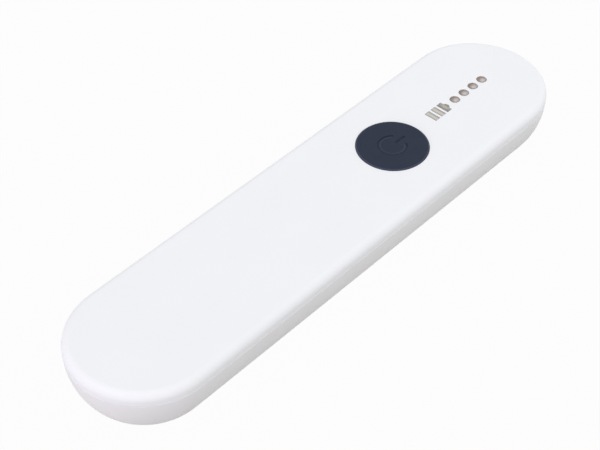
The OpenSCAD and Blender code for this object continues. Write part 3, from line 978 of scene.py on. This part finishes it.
@dataclass
class Gauge:
    """The charge gauge's light guide, with its battery sign and its row of dots."""

    edge: float = 0.06
    dish_depth: float = 0.3
    dish_steps: int = 6
    dish_step: float = 0.22
    # Place and reach of the painted highlight on the round lenses, and of the painted highlight stripe on the
    # bars
    glint_shift: tuple[float, float] = (0.24, -0.26)
    glint: tuple[float, float] = (0.3, 1.25)
    highlight_stripe: tuple[float, float] = (0.1, 0.8)
    bar_stretch: float = 12.0
    cap_stretch: float = 3.0
    round_within: float = 0.1

    def build(self) -> None:
        """Builds the light guide, its round lenses dished, and paints shade and highlights on its lenses."""
        piece = Workpiece.copy_of("gauge_light_guide").round_edges(self.edge)
        lenses = piece.level_faces(Span.of("gauge_light_guide").high.z)
        dots = [face for face in lenses if self._is_round(face)]
        bars = [face for face in lenses if not self._is_round(face)]
        LOG.info("gauge: %d bars and %d dots", len(bars), len(dots))
        whole, capped = bars[:-1], bars[-1:]
        # Each row of lenses gets its darker colour, a painted shade, and a paler painted highlight
        dot = self._painted_highlights(DOT_LENS_PAINTED_SHADE, dots, self.glint, DOT_PAINTED_HIGHLIGHT, shift=self.glint_shift)
        bar = self._painted_highlights(BAR_LENS_PAINTED_SHADE, whole, self.highlight_stripe, BAR_PAINTED_HIGHLIGHT, stretch=self.bar_stretch)
        cap = self._painted_highlights(CAP_LENS_PAINTED_SHADE, capped, self.highlight_stripe, CAP_PAINTED_HIGHLIGHT, stretch=self.cap_stretch)
        piece.paint(dot, dots).paint(bar, whole).paint(cap, capped)
        self._dish(piece, dots)
        piece.finish("gauge_guide", MILKY, "case", "guide_milky", ["gauge_light_guide"])

    def _is_round(self, face: BMFace) -> bool:
        """Tells whether a lens is round.

        Args:
            face: The lens.

        Returns:
            Whether it is as long as it is wide.
        """
        along = [vert.co.x for vert in face.verts]
        across = [vert.co.y for vert in face.verts]
        return abs((max(along) - min(along)) - (max(across) - min(across))) < self.round_within * MM

    @staticmethod
    def _painted_highlights(
        finish: Finish,
        faces: list[BMFace],
        reach: tuple[float, float],
        colour: Colour,
        shift: tuple[float, float] = (0.0, 0.0),
        stretch: float = 1.0,
    ) -> Finish:
        """Puts a paler patch, a painted highlight, on each lens of a row.

        Args:
            finish: Finish of the lenses.
            faces: The lenses, from left to right.
            reach: How far from its middle a patch is full, and how far it reaches, in millimetres.
            colour: Colour of the patches.
            shift: Place of a patch from its lens's middle.
            stretch: How many times as long a patch is along Y.

        Returns:
            The new finish.
        """
        places = [face.calc_center_bounds() / MM for face in faces]
        pitch = (places[-1].x - places[0].x) / (len(places) - 1) if len(places) > 1 else 0.0
        middle = (places[0].x + shift[0], places[0].y + shift[1])
        return replace(finish, rings=(Ring(middle, *reach, colour, pitch, stretch),))

    def _dish(self, piece: Workpiece, faces: list[BMFace]) -> None:
        """Sinks lenses into shallow bowls.

        Args:
            piece: The mesh that they are part of.
            faces: The lenses.
        """
        for step in range(self.dish_steps):
            share = 2 * (self.dish_steps - step) / (self.dish_steps * (self.dish_steps + 1))
            bmesh.ops.inset_individual(
                piece.mesh,
                faces=faces,
                thickness=self.dish_step * MM,
                depth=-self.dish_depth * share * MM,
                use_even_offset=True,
            )


@dataclass
class ChargingSocket:
    """The charging socket in the end of the wand."""

    mouth_edge: float = 0.1
    tongue_edge: float = 0.08
    contacts: int = 12
    contact_pitch: float = 0.5
    contact: tuple[float, float, float] = (2.2, 0.26, 0.03)
    contact_edge: float = 0.01
    contact_back: float = 0.5
    tongue: float = 0.7

    def build(self) -> None:
        """Builds the socket."""
        shell = Workpiece.copy_of("usb_socket_shell").round_edges(self.mouth_edge)
        shell.finish("socket_shell", TINNED, "case", "tinned_steel", ["usb_socket_shell"])
        insert = Workpiece.copy_of("usb_socket_insert").round_edges(self.tongue_edge)
        insert.finish("socket_tongue", BLACK, "case", "black_plastic", ["usb_socket_insert"])
        self._build_contacts()

    def _build_contacts(self) -> None:
        """Builds the rows of contacts on both faces of the tongue."""
        span = Span.of("usb_socket_insert")
        strips = Workpiece()
        length, _, height = self.contact
        mouth = span.high.x - self.contact_back - length / 2
        for side in (-1, 1):
            rise = span.centre.z + side * (self.tongue + height) / 2
            for count in range(self.contacts):
                across = (count - (self.contacts - 1) / 2) * self.contact_pitch
                strip = bmesh.ops.create_cube(strips.mesh, size=MM)
                bmesh.ops.scale(strips.mesh, verts=strip["verts"], vec=self.contact)
                bmesh.ops.translate(strips.mesh, verts=strip["verts"], vec=Vector((mouth, across, rise)) * MM)
        strips.round_edges(self.contact_edge, segments=1)
        strips.finish("socket_contacts", GILT, "case", "tinned_steel")


@dataclass
class Lamp:
    """The lamp in the underside: window, seal, reflector and lamp chips."""

    window_edge: float = 0.15
    seal_edge: float = 0.1
    cup_edge: float = 0.06
    chip_edge: float = 0.05
    pad_margin: float = 0.35
    die_margin: float = 0.75

    def build(self) -> None:
        """Builds the lamp."""
        for node, piece, slot, edge in (
            ("lamp_window", "window", "quartz", self.window_edge),
            ("window_gasket", "window_seal", "seal_rubber", self.seal_edge),
            ("reflector_tray", "reflector", "bright_aluminium", self.cup_edge),
            ("uv_led_lids", "chip_lids", "quartz", self.chip_edge),
        ):
            Workpiece.copy_of(node).round_edges(edge).finish(piece, FINISHES[slot], "case", slot, [node])
        chips = Workpiece.copy_of("uv_leds").round_edges(self.chip_edge)
        emitting = chips.level_faces(Span.of("uv_leds").low.z, downward=True)
        bmesh.ops.inset_individual(chips.mesh, faces=emitting, thickness=self.pad_margin * MM)
        chips.paint(GILT, emitting)
        bmesh.ops.inset_individual(chips.mesh, faces=emitting, thickness=self.die_margin * MM)
        chips.paint(DIE, emitting)
        chips.finish("chips", FINISHES["chip_ceramic"], "case", "chip_ceramic", ["uv_leds"])


@dataclass
class Fitting:
    """A small part inside the case: a CAD node with its edges rounded, or only smoothed where edge is 0."""

    node: str
    edge: float = 0.0

    def build(self, slots: dict[str, str], bodies: dict[str, str]) -> None:
        """Builds the fitting.

        Args:
            slots: Material slot of each CAD node.
            bodies: Body of each CAD node.
        """
        piece = Workpiece.copy_of(self.node)
        if self.edge:
            piece.round_edges(self.edge)
        span = Span.of(self.node)
        self.detail(piece, span)
        slot = slots[self.node]
        finish = self.marked(FINISHES[slot], span)
        piece.finish(f"{self.node}_fitted", finish, bodies[self.node], slot, [self.node])

    def detail(self, piece: Workpiece, span: Span) -> None:
        """Adds what the fitting has besides rounded edges, which is nothing here."""

    def marked(self, finish: Finish, span: Span) -> Finish:
        """Gives the finish with the fitting's own marks, of which a plain one has none."""
        return finish


@dataclass
class Chip(Fitting):
    """A black chip, with a moulded dot at its first leg and tinned legs."""

    leg: float = 0.4
    leg_top: float = 0.4
    dot_inset: float = 0.75
    dot_radius: float = 0.3
    dot_blur: float = 0.06
    dot_shade: float = 3.0

    def detail(self, piece: Workpiece, span: Span) -> None:
        """Tins the legs.

        Args:
            piece: The mesh.
            span: Where the chip lies.
        """
        if not self.leg:
            return
        reach = span.size.y / 2 - self.leg
        legs = [
            face
            for face in piece.mesh.faces
            if abs(face.calc_center_median().y / MM - span.centre.y) > reach
            and face.calc_center_median().z / MM < span.low.z + self.leg_top
        ]
        piece.paint(TINNED, legs)

    def marked(self, finish: Finish, span: Span) -> Finish:
        """Marks the first leg with a paler dot.

        Args:
            finish: Finish of the chip.
            span: Where the chip lies.

        Returns:
            The marked finish.
        """
        place = (span.low.x + self.dot_inset, span.low.y + self.leg + self.dot_inset)
        colour = shade(finish.colour, self.dot_shade)
        dot = Ring(place, self.dot_radius, self.dot_radius + self.dot_blur, colour)
        return replace(finish, name=f"{finish.name}, {self.node}", rings=(dot,))


@dataclass
class Capacitors(Fitting):
    """Ceramic capacitors, each with a tinned cap at both ends."""

    length: float = 2.0
    bare: float = 1.25

    def detail(self, piece: Workpiece, span: Span) -> None:
        """Cuts the caps' edges into the mesh and tins the caps.

        Args:
            piece: The mesh.
            span: Where the capacitors lie.
        """
        mesh = piece.mesh
        row = (span.size.y - self.length) / 2
        for middle in (-row, row):
            for side in (-1, 1):
                bmesh.ops.bisect_plane(
                    mesh,
                    geom=[*mesh.verts, *mesh.edges, *mesh.faces],
                    plane_co=(0.0, (middle + side * self.bare / 2) * MM, 0.0),
                    plane_no=(0.0, 1.0, 0.0),
                )
        caps = [
            face for face in mesh.faces if abs(abs(face.calc_center_median().y / MM) - row) > self.bare / 2
        ]
        piece.paint(TINNED, caps)


@dataclass
class GaugeLights(Fitting):
    """The gauge's light chips, each with a phosphor window on top."""

    frame: float = 0.15

    def detail(self, piece: Workpiece, span: Span) -> None:
        """Sets a window into each chip.

        Args:
            piece: The mesh.
            span: Where the chips lie.
        """
        windows = piece.level_faces(span.high.z)
        bmesh.ops.inset_individual(piece.mesh, faces=windows, thickness=self.frame * MM)
        piece.paint(PHOSPHOR, windows)


@dataclass
class Pouch(Fitting):
    """The battery's pouch, with amber tape over its terminal ledge."""

    ledge: float = 4.0

    def detail(self, piece: Workpiece, span: Span) -> None:
        """Tapes the ledge.

        Args:
            piece: The mesh.
            span: Where the pouch lies.
        """
        edge = span.low.x + self.ledge - CLOSE
        taped = [face for face in piece.mesh.faces if face.calc_center_median().x / MM < edge]
        piece.paint(AMBER_TAPE, taped)


@dataclass
class Inside:
    """Everything that the case holds."""

    fittings: tuple[Fitting, ...] = (
        Fitting("gauge_light_baffle", 0.03),
        GaugeLights("gauge_leds", 0.06),
        Fitting("main_board", 0.03),
        Fitting("switch_base", 0.06),
        Fitting("switch_cover", 0.04),
        Fitting("switch_dome"),
        Fitting("switch_plunger", 0.12),
        Chip("controller_ic", 0.035),
        Chip("charger_ic", 0.035),
        Chip("tilt_sensor_ic", 0.06, leg=0.0),
        Fitting("boost_inductor", 0.08),
        Capacitors("board_capacitors", 0.06),
        Pouch("battery_cell", 0.1),
        Fitting("battery_tape", 0.02),
        Fitting("battery_guard_board", 0.04),
        Fitting("battery_header", 0.08),
        Fitting("battery_plug", 0.08),
        Fitting("battery_lead_plus"),
        Fitting("battery_lead_minus"),
        Fitting("lamp_header", 0.08),
        Fitting("lamp_plug", 0.08),
        Fitting("lamp_lead_plus"),
        Fitting("lamp_lead_minus"),
        Fitting("lamp_board", 0.05),
        Fitting("heat_spreader", 0.08),
        Fitting("lamp_screws", 0.1),
        Fitting("board_screws", 0.08),
        Fitting("case_screws", 0.1),
    )

    def build(self, record: dict) -> None:
        """Builds the fittings.

        Args:
            record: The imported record.
        """
        slots = {part["node"]: part["material_slot"] for part in record["subparts"]}
        bodies = {node: body for body, nodes in record["behaviour"]["bodies"].items() for node in nodes}
        for fitting in self.fittings:
            fitting.build(slots, bodies)


@dataclass(frozen=True)
class Softbox:
    """A square studio lamp that faces the wand.

    heading and height are in degrees, distance and side in metres. level is how brightly the lamp lights a
    white surface that faces it, where 1 is white.
    """

    name: str
    heading: float
    height: float
    distance: float
    side: float
    level: float
    tint: tuple[float, float, float] = (1.0, 1.0, 1.0)

    def build(self) -> None:
        """Hangs the lamp, which lights the wand and leaves its gloss to the white room."""
        away = direction(self.heading, self.height)
        data = bpy.data.lights.new(self.name, "AREA")
        data.size = self.side
        data.color = self.tint
        data.energy = self.level * math.pi**2 * self.distance**2
        lamp = bpy.data.objects.new(self.name, data)
        lamp.visible_glossy = False
        lamp.location = away * self.distance
        lamp.rotation_mode = "QUATERNION"
        lamp.rotation_quaternion = (-away).to_track_quat("-Z", "Y")
        bpy.context.scene.collection.objects.link(lamp)


@dataclass
class Studio:
    """The floor, the light round the wand, and the camera.

    The camera looks along heading, drop degrees downward, at the point aim of the top face, from distance.
    floor_side is in metres.
    """

    sky_level: float = 0.885
    floor_side: float = 8.0
    floor_drop: float = 0.02
    floor_colour: Colour = (0.34, 0.33, 0.305, 1.0)
    floor_glow: float = 0.97
    lens: float = 91.41
    nearest: float = 10.0
    distance: float = 391.6
    heading: float = 42.76
    drop: float = 44.28
    aim: tuple[float, float] = (-12.0, -2.45)
    lamps: tuple[Softbox, ...] = (
        Softbox(
            "left softbox",
            heading=180.0,
            height=3.0,
            distance=1.3,
            side=0.4,
            level=0.45,
            tint=(0.96, 0.89, 1.0),
        ),
        Softbox(
            "front softbox",
            heading=310.0,
            height=28.0,
            distance=1.3,
            side=0.9,
            level=0.195,
            tint=(0.98, 0.99, 1.0),
        ),
    )

    def build(self) -> None:
        """Sets up the studio."""
        bpy.context.scene.view_settings.view_transform = "Standard"
        self._light_world()
        self._lay_floor()
        for lamp in self.lamps:
            lamp.build()
        self._place_camera()

    @staticmethod
    def _seen_directly(tree: NodeTree) -> NodeSocket:
        """Adds a test for rays that show a surface, a reflection or a view through glass.

        Args:
            tree: Node tree to add it to.

        Returns:
            1 for such a ray, and 0 for light that falls on the object.
        """
        path = tree.nodes.new("ShaderNodeLightPath")
        found = path.outputs["Is Camera Ray"]
        for kind in ("Is Glossy Ray", "Is Transmission Ray"):
            either = tree.nodes.new("ShaderNodeMath")
            either.operation = "MAXIMUM"
            tree.links.new(found, either.inputs[0])
            tree.links.new(path.outputs[kind], either.inputs[1])
            found = either.outputs["Value"]
        return found

    def _light_world(self) -> None:
        """Fills the room with even light, and shows it white."""
        world = bpy.data.worlds.new("white room")
        bpy.context.scene.world = world
        world.use_nodes = True
        tree = world.node_tree
        light = next(n for n in tree.nodes if n.type == "BACKGROUND")
        light.inputs["Color"].default_value = WHITE
        light.inputs["Strength"].default_value = self.sky_level
        shown = tree.nodes.new("ShaderNodeBackground")
        shown.inputs["Color"].default_value = WHITE
        shown.inputs["Strength"].default_value = 1.0
        mix = tree.nodes.new("ShaderNodeMixShader")
        tree.links.new(self._seen_directly(tree), mix.inputs["Fac"])
        tree.links.new(light.outputs["Background"], mix.inputs[1])
        tree.links.new(shown.outputs["Background"], mix.inputs[2])
        output = next(n for n in tree.nodes if n.type == "OUTPUT_WORLD")
        tree.links.new(mix.outputs["Shader"], output.inputs["Surface"])

    def _lay_floor(self) -> None:
        """Lays the white floor, which keeps a faint shadow."""
        mesh = bmesh.new()
        bmesh.ops.create_grid(mesh, x_segments=1, y_segments=1, size=self.floor_side / 2)
        bmesh.ops.translate(mesh, verts=mesh.verts, vec=(0.0, 0.0, -self.floor_drop * MM))
        data = bpy.data.meshes.new("floor")
        mesh.to_mesh(data)
        mesh.free()
        floor = bpy.data.objects.new("floor", data)
        bpy.context.scene.collection.objects.link(floor)
        material = bpy.data.materials.new("white floor")
        material.use_nodes = True
        tree = material.node_tree
        matt = next(n for n in tree.nodes if n.type == "BSDF_PRINCIPLED")
        matt.inputs["Base Color"].default_value = self.floor_colour
        matt.inputs["Roughness"].default_value = 1.0
        matt.inputs["Specular IOR Level"].default_value = 0.0
        glow = tree.nodes.new("ShaderNodeEmission")
        glow.inputs["Strength"].default_value = 1.0
        share = tree.nodes.new("ShaderNodeMath")
        share.operation = "MULTIPLY"
        share.inputs[1].default_value = self.floor_glow
        tree.links.new(self._seen_directly(tree), share.inputs[0])
        mix = tree.nodes.new("ShaderNodeMixShader")
        tree.links.new(share.outputs["Value"], mix.inputs["Fac"])
        tree.links.new(matt.outputs["BSDF"], mix.inputs[1])
        tree.links.new(glow.outputs["Emission"], mix.inputs[2])
        output = next(n for n in tree.nodes if n.type == "OUTPUT_MATERIAL")
        tree.links.new(mix.outputs["Shader"], output.inputs["Surface"])
        data.materials.append(material)

    def _place_camera(self) -> None:
        """Places the camera above the plain end, to one side."""
        ahead = direction(self.heading, -self.drop)
        target = Vector((*self.aim, Span.of("top_cover").high.z)) * MM
        data = bpy.data.cameras.new("camera")
        data.lens = self.lens
        data.clip_start = self.nearest * MM
        camera = bpy.data.objects.new("camera", data)
        camera.location = target - ahead * self.distance * MM
        camera.rotation_mode = "QUATERNION"
        camera.rotation_quaternion = ahead.to_track_quat("-Z", "Y")
        bpy.context.scene.collection.objects.link(camera)
        bpy.context.scene.camera = camera


def main() -> None:
    """Builds the wand and its studio."""
    logging.basicConfig(level=logging.INFO, format="%(name)s: %(message)s")
    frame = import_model()
    Studio().build()
    Case().build()
    ThumbButton().build()
    Gauge().build()
    ChargingSocket().build()
    Lamp().build()
    Inside().build(frame["record"])


if __name__ == "__main__":
    main()
